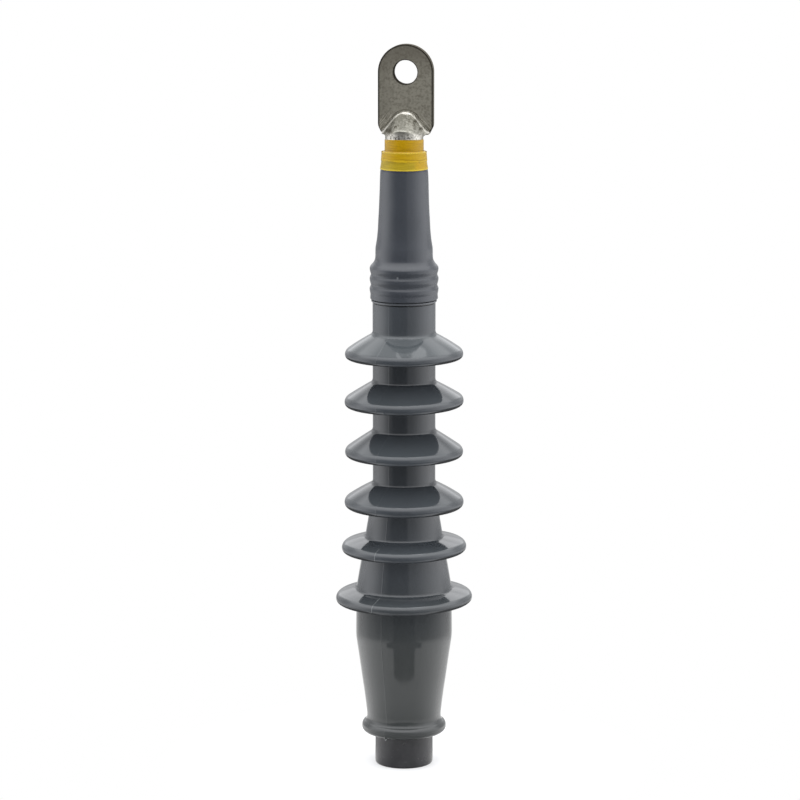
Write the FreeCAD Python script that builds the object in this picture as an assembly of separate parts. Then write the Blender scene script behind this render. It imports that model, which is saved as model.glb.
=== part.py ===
import FreeCAD, Part
import math
import os

# Outdoor termination for a single-core medium voltage cable.
# It stands on the cut end of the cable: the origin is the middle of that face, and +Z runs up to the lug.
# All sizes are in millimetres, heights are along Z, and the lug's palm faces -Y.

Vector = FreeCAD.Vector
UP = Vector(0, 0, 1)

# Fit
layer_gap = 0.05

# Conductor, stranded in rings of wires that are pressed to wedges round a middle wire
wire_pitch = 2.64
wire_gap = 0.03
wire_rings = 4

# Cable layers, from the conductor outwards
conductor_screen_wall = 0.8
insulation_wall = 10.5
insulation_screen_wall = 0.8
copper_tape_wall = 0.35
semicon_tape_wall = 0.5
core_sleeve_wall = 2.0

# Where each layer is cut back, as steps along the cable
tail_length = 29.4
core_sleeve_overlap = 22.0
copper_tape_bare = 8.0
semicon_tape_below = 6.0
semicon_tape_above = 8.0
screen_end_in_cone = 30.0
insulation_above_body = 16.8
insulation_chamfer = 5.0
insulation_chamfer_depth = 2.4

# Lug
lug_standoff = 3.0
barrel_diameter = 34.1
barrel_length = 91.0
barrel_bore_clearance = 0.52
bore_floor = 9.0
bore_lead_in = 1.0
drill_point_angle = 118.0
conductor_end_play = 1.5
crimp_depth = 1.55
crimp_width = 20.0
crimp_pitch = 29.0
crimp_count = 2
first_crimp = 12.0
palm_width = 50.0
palm_thickness = 9.0
palm_length = 81.5
palm_edge_chamfer = 0.6
palm_corner_width = 4.0
palm_corner_height = 7.8
palm_corner_rounding = 2.0
bolt_hole = 21.6
bolt_hole_from_tip = 25.2
ramp_width = 42.0
ramp_foot_height = 3.3
ramp_flare_height = 2.5
ramp_peak_height = 29.5
ramp_crest_radius = 13.4
ramp_angle = 32.0

# Moulded body
body_length = 439.8
body_end_bevel = 7.2
body_end_lip = 1.0
neck_diameter = 56.7
bulge_diameter = 87.7
bulge_bottom = 92.0
taper_bottom = 135.2
taper_top = 225.8
skirt_diameter = 66.6
skirt_height = 15.6
skirt_belly = 0.5
mouth_bead_diameter = 77.3
mouth_bead_width = 11.4
mouth_bead_chamfer = 3.4

# Sheds, with heights measured from the body's lower face to the shed's lower edge; the top one hangs from
# the body's upper end, and the small sheds between share out the space
large_shed_diameter = 124.2
large_shed_height = 123.6
large_shed_rise = 11.7
middle_shed_diameter = 113.2
middle_shed_height = 170.8
middle_shed_rise = 11.3
small_shed_diameter = 107.4
small_shed_count = 4
small_shed_height = 212.5
small_shed_rise = 21.0
small_shed_pitch_loss = 1.2
top_shed_below_end = 90.5
shed_edge = 7.8
shed_edge_chamfer = 2.2

# Small grip rings round the neck, measured from the body's upper face down
ring_count = 4
ring_depth_from_end = 9.0
ring_pitch = 9.6
ring_height = 0.6
ring_width = 3.4

# Stress cone, the conductive insert that the body is moulded round
cone_above_tape = 2.6
cone_length = 71.0
cone_root_wall = 1.6
cone_tip_radius = 36.0
cone_tip_wall = 5.0
cone_bore_length = 34.0

# Sealing mastic in the body's mouth
mouth_mastic_wall = 1.6
mouth_mastic_height = 13.0
mouth_mastic_inset = 3.0

# Upper sealing sleeve
sleeve_below_rings = 8.4
sleeve_wall_at_body = 1.5
sleeve_wall_at_insulation = 2.6
sleeve_wall_at_lug = 2.8
sleeve_end_below_palm = 14.7
sleeve_fold_height = 1.2
sleeve_step_height = 10.0

# Mastic wound round the lug's barrel: a thick winding at its mouth and a thinner one above
mouth_winding_height = 32.0
upper_winding_wall = 1.8
mastic_below_sleeve_end = 7.2

# Yellow phase tape
tape_wall = 0.5
lug_tape_height = 11.2
sleeve_tape_height = 15.6
sleeve_tape_proud = 0.9
sleeve_wall_under_tape = 1.65

# Radii and heights that follow from the sizes above
conductor_radius = (wire_rings + 0.5) * wire_pitch
conductor_screen_bore = conductor_radius + layer_gap
conductor_screen_radius = conductor_screen_bore + conductor_screen_wall
insulation_bore = conductor_screen_radius + layer_gap
insulation_radius = insulation_bore + insulation_wall
insulation_screen_bore = insulation_radius + layer_gap
insulation_screen_radius = insulation_screen_bore + insulation_screen_wall
copper_tape_bore = insulation_screen_radius + layer_gap
copper_tape_radius = copper_tape_bore + copper_tape_wall
core_sleeve_bore = copper_tape_radius + layer_gap
core_sleeve_radius = core_sleeve_bore + core_sleeve_wall
semicon_tape_radius = core_sleeve_bore + semicon_tape_wall

core_sleeve_end = tail_length + core_sleeve_overlap
copper_tape_end = core_sleeve_end + copper_tape_bare
semicon_tape_bottom = copper_tape_end - semicon_tape_below
semicon_tape_top = copper_tape_end + semicon_tape_above
cone_bottom = semicon_tape_top + cone_above_tape
cone_top = cone_bottom + cone_length
insulation_screen_end = cone_bottom + screen_end_in_cone

body_bottom = tail_length
body_top = body_bottom + body_length
neck_radius = neck_diameter / 2
bulge_radius = bulge_diameter / 2
first_ring = body_top - ring_depth_from_end
insulation_end = body_top + insulation_above_body

barrel_radius = barrel_diameter / 2
barrel_bottom = insulation_end + lug_standoff
palm_bottom = barrel_bottom + barrel_length
palm_top = palm_bottom + palm_length
palm_back = barrel_radius
palm_front = palm_back - palm_thickness
bore_end = palm_bottom - bore_floor
conductor_end = bore_end - conductor_end_play

sleeve_bottom = first_ring - (ring_count - 2) * ring_pitch - sleeve_below_rings
sleeve_top = palm_bottom - sleeve_end_below_palm
mouth_winding_top = insulation_end + layer_gap + mouth_winding_height
mastic_top = sleeve_top - mastic_below_sleeve_end
over_insulation = insulation_radius + layer_gap
over_mouth_winding = insulation_radius - insulation_chamfer_depth + layer_gap
over_upper_winding = barrel_radius + layer_gap + upper_winding_wall + layer_gap
under_tape = over_upper_winding + sleeve_wall_under_tape
over_rings = neck_radius + ring_height + layer_gap


def point(radius, height):
    """A point of a turned profile, in the XZ plane."""
    return Vector(radius, 0, height)


def rounded_wire(corners):
    """Closes a wire through corners given as (point, rounding), with an arc at each rounded corner."""
    corners = [
        (corner, rounding) for index, (corner, rounding) in enumerate(corners)
        if corner.distanceToPoint(corners[index - 1][0]) > 1e-6
    ]
    stops = []
    for index, (corner, rounding) in enumerate(corners):
        before = corners[index - 1][0]
        after = corners[(index + 1) % len(corners)][0]
        back = (before - corner).normalize()
        ahead = (after - corner).normalize()
        half = back.getAngle(ahead) / 2
        if rounding <= 0 or half > math.radians(89.9):
            stops.append((corner, None, corner))
            continue
        reach = rounding / math.tan(half)
        centre = corner + (back + ahead).normalize() * (rounding / math.sin(half))
        crest = centre + (corner - centre).normalize() * rounding
        stops.append((corner + back * reach, crest, corner + ahead * reach))
    edges = []
    for index, (start, crest, end) in enumerate(stops):
        last = stops[index - 1][2]
        if last.distanceToPoint(start) > 1e-6:
            edges.append(Part.LineSegment(last, start).toShape())
        if crest is not None:
            edges.append(Part.Arc(start, crest, end).toShape())
    return Part.Wire(edges)


def turned(corners):
    """Turns a profile of (radius, height) or (radius, height, rounding) corners about the cable's axis."""
    placed = [(point(corner[0], corner[1]), corner[2] if len(corner) > 2 else 0) for corner in corners]
    face = Part.Face(rounded_wire(placed))
    return face.revolve(Vector(0, 0, 0), UP, 360)


def tube(bore, radius, bottom, top):
    """A plain tube about the cable's axis."""
    return turned([(bore, bottom), (radius, bottom), (radius, top), (bore, top)])


def wedge(inner, outer, middle, half_angle):
    """The plan of one pressed wire, a four-sided wedge between two rings of the conductor."""
    corners = [(inner, -half_angle), (outer, -half_angle), (outer, half_angle), (inner, half_angle)]
    places = [Vector(r * math.cos(middle + a), r * math.sin(middle + a), 0) for r, a in corners]
    return Part.makePolygon(places + places[:1])


def wire_ring(ring):
    """The wires of one ring of the conductor, as separate straight solids."""
    count = 6 * ring
    inner = (ring - 0.5) * wire_pitch + wire_gap
    outer = (ring + 0.5) * wire_pitch
    half_angle = math.pi / count - wire_gap / inner
    flat = inner / math.cos(half_angle)
    plans = [wedge(flat, outer, 2 * math.pi * index / count, half_angle) for index in range(count)]
    return Part.makeCompound([Part.Face(plan).extrude(UP * conductor_end) for plan in plans])


def centre_wire():
    """The middle wire, pressed to a hexagon by the ring round it."""
    corners = [Vector(0.5 * wire_pitch * math.cos(turn), 0.5 * wire_pitch * math.sin(turn), 0)
               for turn in [math.radians(30 + 60 * step) for step in range(7)]]
    return Part.Face(Part.makePolygon(corners)).extrude(UP * conductor_end)


def conductor_screen():
    return tube(conductor_screen_bore, conductor_screen_radius, 0, insulation_end)


def insulation():
    """The insulation's upper end is chamfered, so that the sleeve has no sharp step under it."""
    return turned([
        (insulation_bore, 0),
        (insulation_radius, 0),
        (insulation_radius, insulation_end - insulation_chamfer),
        (insulation_radius - insulation_chamfer_depth, insulation_end),
        (insulation_bore, insulation_end),
    ])


def insulation_screen():
    return tube(insulation_screen_bore, insulation_screen_radius, 0, insulation_screen_end)


def copper_tape():
    return tube(copper_tape_bore, copper_tape_radius, 0, copper_tape_end)


def semicon_tape():
    """Wound over the end of the copper tape and down onto the insulation screen."""
    return turned([
        (core_sleeve_bore, semicon_tape_bottom),
        (semicon_tape_radius, semicon_tape_bottom),
        (semicon_tape_radius, semicon_tape_top),
        (copper_tape_bore, semicon_tape_top),
        (copper_tape_bore, copper_tape_end + layer_gap),
        (core_sleeve_bore, copper_tape_end + layer_gap),
    ])


def core_sleeve():
    return tube(core_sleeve_bore, core_sleeve_radius, 0, core_sleeve_end)


def cone_corners(gap):
    """The stress cone's outside, from its root to its tip, standing off by the gap."""
    return [
        (insulation_screen_radius + cone_root_wall + gap, cone_bottom - gap),
        (cone_tip_radius + gap, cone_top + gap),
        (cone_tip_radius - cone_tip_wall - gap, cone_top + gap),
    ]


def cone_throat(gap):
    """Where the stress cone's inner flare leaves the cable, standing off by the gap."""
    return (insulation_screen_radius + layer_gap - gap, cone_bottom + cone_bore_length)


def stress_cone():
    """A conductive rubber horn: it grips the insulation screen and flares away above the screen's end."""
    return turned(
        [(insulation_screen_radius + layer_gap, cone_bottom)] + cone_corners(0) + [cone_throat(0)]
    )


def profile_radius(height):
    """The radius of the body's core at a height, with the sheds left away."""
    bottom = body_bottom + taper_bottom
    top = body_bottom + taper_top
    share = min(1.0, max(0.0, (height - bottom) / (top - bottom)))
    return bulge_radius + (neck_radius - bulge_radius) * share


def shed_corners(diameter, edge_height, rise):
    """One shed, from its upper root down to its lower root: sloping top, broken edge, flat underside."""
    reach = diameter / 2
    lower = body_bottom + edge_height
    upper = lower + shed_edge
    root = lower + rise
    return [
        (profile_radius(root), root),
        (reach - shed_edge_chamfer, upper),
        (reach, upper - shed_edge_chamfer),
        (reach, lower + shed_edge_chamfer),
        (reach - shed_edge_chamfer, lower),
        (profile_radius(lower), lower),
    ]


def small_shed_heights():
    """Heights of the small sheds from the lowest up; each pitch is a little shorter than the one below."""
    gaps = small_shed_count - 1
    pitch = (body_length - top_shed_below_end - small_shed_height) / gaps
    heights = [small_shed_height]
    for index in range(gaps):
        heights.append(heights[-1] + pitch + ((gaps - 1) / 2 - index) * small_shed_pitch_loss)
    return heights


def ring_corners(height, gap):
    """One grip ring round the neck, from its upper side down, standing off by the gap."""
    return [
        (neck_radius + gap, height + ring_width / 2),
        (neck_radius + ring_height + gap, height),
        (neck_radius + gap, height - ring_width / 2),
    ]


def ring_heights():
    """Heights of the grip rings, from the top one down."""
    return [first_ring - index * ring_pitch for index in range(ring_count)]


def body_bore():
    """The body's inside, from its mouth up: steps over each layer, the cone's seat and the insulation."""
    sleeve_seat = core_sleeve_radius + layer_gap
    screen_seat = insulation_screen_radius + layer_gap
    tape_seat = semicon_tape_radius + layer_gap
    groove = sleeve_seat + mouth_mastic_wall + layer_gap
    groove_bottom = body_bottom + mouth_mastic_inset
    groove_top = groove_bottom + mouth_mastic_height + 2 * layer_gap
    corners = [
        (sleeve_seat, body_bottom),
        (sleeve_seat, groove_bottom),
        (groove, groove_bottom),
        (groove, groove_top),
        (sleeve_seat, groove_top),
        (sleeve_seat, core_sleeve_end + layer_gap),
        (tape_seat, core_sleeve_end + layer_gap),
        (tape_seat, semicon_tape_top + layer_gap),
        (screen_seat, semicon_tape_top + layer_gap),
        (screen_seat, cone_bottom - layer_gap),
    ]
    corners += cone_corners(layer_gap)
    throat_radius, throat_height = cone_throat(0)
    seat = insulation_radius + layer_gap
    corners += [
        (throat_radius, throat_height + layer_gap),
        (seat, throat_height + layer_gap),
        (seat, body_top),
    ]
    return corners


def termination_body():
    """One silicone moulding: bevelled upper end, gripped neck, sheds, bulge, skirt and beaded mouth."""
    outside = [
        (insulation_radius + layer_gap + body_end_lip, body_top),
        (neck_radius, body_top - body_end_bevel),
    ]
    for height in ring_heights():
        outside += ring_corners(height, 0)
    for height in reversed(small_shed_heights()):
        outside += shed_corners(small_shed_diameter, height, small_shed_rise)
    outside += shed_corners(middle_shed_diameter, middle_shed_height, middle_shed_rise)
    outside += shed_corners(large_shed_diameter, large_shed_height, large_shed_rise)
    bulge_height = body_bottom + bulge_bottom
    skirt_top = body_bottom + skirt_height
    belly_height = (bulge_height + skirt_top) / 2
    belly_radius = (bulge_radius + skirt_diameter / 2) / 2 - skirt_belly
    bead = mouth_bead_diameter / 2
    outside += [
        (bulge_radius, bulge_height),
        (belly_radius, belly_height),
        (skirt_diameter / 2, skirt_top),
        (skirt_diameter / 2, body_bottom + mouth_bead_width),
        (bead - mouth_bead_chamfer, body_bottom + mouth_bead_width),
        (bead, body_bottom + mouth_bead_width - mouth_bead_chamfer),
        (bead, body_bottom + mouth_bead_chamfer),
        (bead - mouth_bead_chamfer, body_bottom),
    ]
    return turned(body_bore() + outside)


def mouth_mastic():
    bore = core_sleeve_radius + layer_gap
    bottom = body_bottom + mouth_mastic_inset + layer_gap
    return tube(bore, bore + mouth_mastic_wall, bottom, bottom + mouth_mastic_height)


def sleeve_inside():
    """The sleeve's inside, from its lower end up: over the rings, the body's end, the insulation and mastic."""
    return [
        (over_rings, sleeve_bottom),
        (over_rings, body_top - body_end_bevel + layer_gap),
        (over_insulation + body_end_lip, body_top + layer_gap),
        (over_insulation, body_top + sleeve_fold_height),
        (over_insulation, insulation_end - insulation_chamfer),
        (over_mouth_winding, insulation_end),
        (over_mouth_winding, mouth_winding_top + layer_gap),
        (over_upper_winding, mouth_winding_top + layer_gap),
        (over_upper_winding, mastic_top + layer_gap),
        (barrel_radius + layer_gap, mastic_top + layer_gap),
        (barrel_radius + layer_gap, sleeve_top),
    ]


def sleeve_outside():
    """The sleeve's outside, from its upper end down; it is thinnest where it is stretched the most."""
    tape_bottom = sleeve_top + sleeve_tape_proud - sleeve_tape_height
    trough = over_rings + sleeve_wall_at_body
    corners = [
        (under_tape, sleeve_top),
        (under_tape, tape_bottom - layer_gap),
        (under_tape + 2 * tape_wall, tape_bottom - layer_gap),
        (over_mouth_winding + sleeve_wall_at_lug, insulation_end + sleeve_fold_height),
        (over_insulation + sleeve_wall_at_insulation, insulation_end - sleeve_step_height),
        (over_insulation + sleeve_wall_at_insulation, body_top + sleeve_fold_height),
        (trough, body_top - body_end_bevel + sleeve_fold_height),
    ]
    for height in ring_heights()[:-1]:
        corners += [(trough + ring_height, height), (trough, height - ring_pitch / 2)]
    corners[-1] = (trough, sleeve_bottom)
    return corners


def sealing_sleeve():
    """Grey tube shrunk over the body's neck, the bare insulation and the foot of the lug."""
    return turned(sleeve_inside() + sleeve_outside())


def lug_mastic():
    """Mastic wound round the lug's barrel, so that the sleeve runs smoothly down to the insulation."""
    return turned([
        (conductor_radius + layer_gap, insulation_end + layer_gap),
        (over_mouth_winding - layer_gap, insulation_end + layer_gap),
        (over_mouth_winding - layer_gap, mouth_winding_top),
        (over_upper_winding - layer_gap, mouth_winding_top),
        (over_upper_winding - layer_gap, mastic_top),
        (barrel_radius + layer_gap, mastic_top),
        (barrel_radius + layer_gap, barrel_bottom - layer_gap),
        (conductor_radius + layer_gap, barrel_bottom - layer_gap),
    ])


def lug_tape():
    """Yellow tape round the bare barrel, standing on the sleeve's end."""
    bottom = sleeve_top + layer_gap
    bore = barrel_radius + layer_gap
    return tube(bore, bore + tape_wall, bottom, bottom + lug_tape_height)


def sleeve_tape():
    """Yellow tape round the sleeve's end, standing a little proud of it."""
    top = sleeve_top + sleeve_tape_proud
    bore = under_tape + layer_gap
    return tube(bore, bore + tape_wall, top - sleeve_tape_height, top)


def front_prism(corners, front, back):
    """A prism along Y of an outline drawn in the XZ plane as (x, z, rounding) corners."""
    wire = rounded_wire([(Vector(x, front, z), rounding) for x, z, rounding in corners])
    return Part.Face(wire).extrude(Vector(0, back - front, 0))


def palm_corners(flare=()):
    """The palm seen from the front: round tip, straight sides and cut lower corners, over an optional flare."""
    half = palm_width / 2
    foot = half - palm_corner_width
    shoulder = palm_bottom + palm_corner_height
    return [
        (half, palm_top, half),
        (-half, palm_top, half),
        (-half, shoulder, palm_corner_rounding),
        (-foot, palm_bottom, 0),
        *flare,
        (foot, palm_bottom, 0),
        (half, shoulder, palm_corner_rounding),
    ]


def palm():
    """The flat palm with its broken edges."""
    plate = front_prism(palm_corners(), palm_front, palm_back)
    rims = [edge for edge in plate.Edges if edge.BoundBox.YLength < layer_gap]
    rims = [edge for edge in rims if edge.BoundBox.ZMax > palm_bottom + layer_gap]
    return plate.makeChamfer(palm_edge_chamfer, rims)


def ramp_roof():
    """Everything under the ramp: a bell-shaped outline slid forward and down from the palm's face."""
    half = ramp_width / 2
    slope = math.tan(math.radians(ramp_angle))
    lift = slope * palm_thickness
    foot = palm_bottom + ramp_foot_height + lift
    root = barrel_bottom - ramp_width
    bell = rounded_wire([
        (Vector(0, palm_back, palm_bottom + ramp_peak_height + lift), ramp_crest_radius),
        (Vector(-half, palm_back, foot), 0),
        (Vector(-half, palm_back, root), 0),
        (Vector(half, palm_back, root), 0),
        (Vector(half, palm_back, foot), 0),
    ])
    run = palm_back + barrel_diameter
    return Part.Face(bell).extrude(Vector(0, -run, -run * slope))


def ramp_wings():
    """The ramp's sides, which widen from the barrel to the palm's cut corners."""
    half = ramp_width / 2
    flare = palm_bottom - ramp_flare_height
    plan = Part.makePolygon([
        Vector(-barrel_radius, 0, flare),
        Vector(barrel_radius, 0, flare),
        Vector(half, palm_front, flare),
        Vector(half, palm_back, flare),
        Vector(-half, palm_back, flare),
        Vector(-half, palm_front, flare),
        Vector(-barrel_radius, 0, flare),
    ])
    block = Part.Face(plan).extrude(UP * (ramp_flare_height + ramp_peak_height))
    outline = palm_corners([(-barrel_radius, flare, 0), (barrel_radius, flare, 0)])
    return block.common(front_prism(outline, 0, palm_back))


def crimp_cuts():
    """What the hexagonal crimping dies press away from the barrel, one band for each crimp."""
    corner = (barrel_diameter - 2 * crimp_depth) / math.sqrt(3)
    angles = [math.radians(60 * step) for step in range(7)]
    cuts = []
    for index in range(crimp_count):
        bottom = barrel_bottom + first_crimp + index * crimp_pitch
        hexagon = Part.makePolygon([Vector(corner * math.cos(a), corner * math.sin(a), bottom) for a in angles])
        band = Part.makeCylinder(barrel_diameter, crimp_width, Vector(0, 0, bottom))
        cuts.append(band.cut(Part.Face(hexagon).extrude(UP * crimp_width)))
    return Part.makeCompound(cuts)


def barrel_hole():
    """The lug's blind bore with its lead-in and the drill's point."""
    bore = conductor_radius + barrel_bore_clearance
    drill_point = bore / math.tan(math.radians(drill_point_angle / 2))
    return turned([
        (0, barrel_bottom - bore_lead_in),
        (bore + 2 * bore_lead_in, barrel_bottom - bore_lead_in),
        (bore, barrel_bottom + bore_lead_in),
        (bore, bore_end),
        (0, bore_end + drill_point),
    ])


def terminal_lug():
    """One forged copper piece: crimped barrel with a blind bore, ramp, and drilled palm."""
    stock = Part.makeCylinder(barrel_radius, barrel_length + ramp_peak_height, Vector(0, 0, barrel_bottom))
    shank = stock.fuse(ramp_wings()).common(ramp_roof()).cut(crimp_cuts())
    lug = shank.fuse(palm()).removeSplitter()
    hole_foot = Vector(0, -palm_width, palm_top - bolt_hole_from_tip)
    hole = Part.makeCylinder(bolt_hole / 2, 2 * palm_width, hole_foot, Vector(0, 1, 0))
    return lug.cut([barrel_hole(), hole])


def pieces():
    """Every piece of the termination, by the name of its node."""
    rings = {f"conductor_wires_{ring}": wire_ring(ring) for ring in range(1, wire_rings + 1)}
    return {
        "conductor_centre_wire": centre_wire(),
        **rings,
        "conductor_screen": conductor_screen(),
        "cable_insulation": insulation(),
        "insulation_screen": insulation_screen(),
        "copper_tape_screen": copper_tape(),
        "semiconductive_tape": semicon_tape(),
        "core_sleeve": core_sleeve(),
        "stress_cone": stress_cone(),
        "termination_body": termination_body(),
        "mouth_sealing_mastic": mouth_mastic(),
        "lug_filling_mastic": lug_mastic(),
        "sealing_sleeve": sealing_sleeve(),
        "terminal_lug": terminal_lug(),
        "lug_phase_tape": lug_tape(),
        "sleeve_phase_tape": sleeve_tape(),
    }


os.makedirs("parts", exist_ok=True)
for name, shape in pieces().items():
    shape.exportStep(f"parts/{name}.step")
    print(name, "solids", len(shape.Solids), "valid", shape.isValid(), "volume", round(shape.Volume))
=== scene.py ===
import math
from collections import namedtuple

import bmesh
import bpy
import numpy as np
from mathutils import Matrix, Vector


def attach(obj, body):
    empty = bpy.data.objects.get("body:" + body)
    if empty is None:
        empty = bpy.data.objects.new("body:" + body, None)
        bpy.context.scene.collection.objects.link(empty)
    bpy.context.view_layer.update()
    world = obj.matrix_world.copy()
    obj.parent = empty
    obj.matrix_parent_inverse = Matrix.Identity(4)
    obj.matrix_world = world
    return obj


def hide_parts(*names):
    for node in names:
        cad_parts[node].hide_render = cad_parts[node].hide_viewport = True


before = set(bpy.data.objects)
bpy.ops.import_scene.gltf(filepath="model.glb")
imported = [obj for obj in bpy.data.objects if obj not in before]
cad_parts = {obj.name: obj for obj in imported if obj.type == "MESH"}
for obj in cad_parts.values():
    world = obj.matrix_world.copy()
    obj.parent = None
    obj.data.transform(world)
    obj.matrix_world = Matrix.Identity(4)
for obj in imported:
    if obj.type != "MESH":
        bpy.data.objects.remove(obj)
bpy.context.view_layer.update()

# A cable termination on its cable stub
# Sizes are in millimetres, heights run along Z from the cut cable end, and angles go round Z in radians
MM = 0.001

# Camera: its angles in degrees, its distance from the spot it aims at, that spot, and its lens
CAMERA_AZIMUTH = 8.0
CAMERA_PITCH = 10.309
CAMERA_DISTANCE = 3086.07
AIM_HEIGHT = 339.49
AIM_LEFT = 3.7
LENS = 153.0
CAMERA_SIDE = math.radians(CAMERA_AZIMUTH - 90.0)

# Moulded body: heights of its mouth and upper end, radii of neck and bulge, the heights between which the one
# widens into the other, heights of the thin collar and of the grip rings, and the angle where the mould parts
MOUTH = 29.4
NECK_END = 469.2
NECK = 28.5
BULGE = 43.8
TAPER = (164.6, 255.2)
COLLAR = 430.2
GRIP_RINGS = (460.2, 450.6, 441.0)
PARTING = CAMERA_SIDE - math.radians(28.0)

# Each shed: height and radius of its rim, how round it is below, where its slope meets the core, how round
# the rim is above, how far the slope is crowned in degrees, and how much higher it hangs on the right
Shed = namedtuple("Shed", "level reach rim root shoulder swell tilt")
SHEDS = (
    Shed(382.03, 53.6, 3.77, 400.9, 6.1, 3.2, 0.27),
    Shed(338.55, 54.1, 4.16, 357.15, 6.2, 1.7, 0.82),
    Shed(291.91, 53.75, 4.12, 312.1, 6.1, 1.3, 0.18),
    Shed(245.3, 54.35, 4.7, 263.8, 6.4, 4.0, 0.18),
    Shed(203.4, 56.9, 3.77, 213.6, 5.9, 1.7, 0.77),
    Shed(156.3, 62.4, 3.68, 165.5, 5.2, 1.7, 0.78),
)

# Small nibs of flash: angle from the camera's side in degrees, height, how far they stand out
NIBS = ((-19.5, 335.6, 0.7), (-30.3, 201.3, 0.8), (-28.6, 154.3, 0.8), (-28.0, 30.6, 1.1))

# Lug: the barrel's radius, and its crimps' heights, half length and half width
BARREL = 17.05
CRIMPS = (511.0, 540.0)
CRIMP_HALF = 10.0
CRIMP_FLAT = 15.5

# Palm: its faces and their middle along Y, half width, foot, cut corners, the height where its round end
# starts, and the bolt hole's height and radius
PALM_FRONT = 8.05
PALM_BACK = 17.05
PALM_MIDDLE = (PALM_FRONT + PALM_BACK) / 2
PALM_HALF = 25.0
PALM_FOOT = 580.0
PALM_CORNER = (4.0, 7.8)
PALM_TURN = 635.9
HOLE_HEIGHT = 636.0
HOLE = 10.8

# The ramp's edge: middle and radius of its crest, the slope of its flanks, and how the ramp leans back
BELL_MIDDLE = 588.0
BELL_ROUND = 13.4
BELL_SLOPE = 1.25
BELL_LEAN = 0.625

# Stains on the ramp: place across and height, half width and half height
RAMP_STAINS = (
    (-13.5, 584.3, 5.0, 2.4), (9.8, 593.5, 2.4, 3.0), (15.3, 586.3, 3.4, 1.8), (-6.5, 588.5, 2.0, 1.6),
)

# Heights of the sleeve's ends, of the lower edges of both tapes, and of the fold in the sleeve's tape
SLEEVE_FOOT = 432.7
SLEEVE_TOP = 565.3
SLEEVE_TAPE_FOOT = 550.3
LUG_TAPE_FOOT = 565.6
TAPE_FOLD = 562.5


# Node helpers


class Value:
    """A node socket that takes part in sums like a number."""

    def __init__(self, graph, socket):
        self.graph = graph
        self.socket = socket

    def maths(self, operation, *others):
        return self.graph.value("ShaderNodeMath", dict(enumerate((self, *others))), operation=operation)

    def swapped(self, operation, other):
        """The same with the other value first."""
        return self.graph.value("ShaderNodeMath", {0: other, 1: self}, operation=operation)

    def __add__(self, other):
        return self.maths("ADD", other)

    def __radd__(self, other):
        return self.swapped("ADD", other)

    def __sub__(self, other):
        return self.maths("SUBTRACT", other)

    def __rsub__(self, other):
        return self.swapped("SUBTRACT", other)

    def __mul__(self, other):
        return self.maths("MULTIPLY", other)

    def __rmul__(self, other):
        return self.swapped("MULTIPLY", other)

    def __truediv__(self, other):
        return self.maths("DIVIDE", other)

    def __pow__(self, other):
        return self.maths("POWER", other)

    def __neg__(self):
        return self * -1.0

    def __abs__(self):
        return self.maths("ABSOLUTE")

    def most(self, other):
        return self.maths("MAXIMUM", other)

    def sine(self):
        return self.maths("SINE")

    def cosine(self):
        return self.maths("COSINE")

    def root(self):
        return self.maths("SQRT")

    def angle(self, other):
        """The angle whose sine goes with this value and whose cosine goes with the other."""
        return self.maths("ARCTAN2", other)

    def eased(self, low, high):
        """0 below low, 1 above high and a smooth step between them."""
        sockets = {"Value": self, "From Min": low, "From Max": high}
        return self.graph.value("ShaderNodeMapRange", sockets, interpolation_type="SMOOTHSTEP")

    def fading(self, low, high):
        """1 below low, 0 above high and a smooth step between them."""
        return 1.0 - self.eased(low, high)

    def between(self, rise, fall):
        """Eased up from 0 to 1 over one stretch, and down again over another."""
        return self.eased(*rise) * self.fading(*fall)


def facing(x, y):
    """How far a spot lies to the camera's right, and how far towards the camera."""
    turn = math.radians(CAMERA_AZIMUTH)
    return x * math.cos(turn) + y * math.sin(turn), x * math.sin(turn) - y * math.cos(turn)


class Graph:
    """A node tree whose nodes are made, set and joined in one call."""

    def __init__(self, tree):
        self.tree = tree

    def node(self, kind, sockets=None, **settings):
        made = self.tree.nodes.new(kind)
        for name, setting in settings.items():
            setattr(made, name, setting)
        for key, wanted in (sockets or {}).items():
            self.join(made.inputs[key], wanted)
        return made

    def join(self, entry, wanted):
        """Links an input to a value, a socket or a node's first output, or sets it: a tuple is a colour."""
        if isinstance(wanted, bpy.types.Node):
            wanted = wanted.outputs[0]
        if isinstance(wanted, Value):
            wanted = wanted.socket
        if isinstance(wanted, bpy.types.NodeSocket):
            self.tree.links.new(wanted, entry)
        elif isinstance(wanted, tuple):
            entry.default_value = (*wanted, 1.0)
        else:
            entry.default_value = wanted

    def value(self, kind, sockets=None, out=0, **settings):
        return Value(self, self.node(kind, sockets, **settings).outputs[out])

    def vector(self, x, y, z):
        return self.value("ShaderNodeCombineXYZ", {0: x, 1: y, 2: z})


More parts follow.
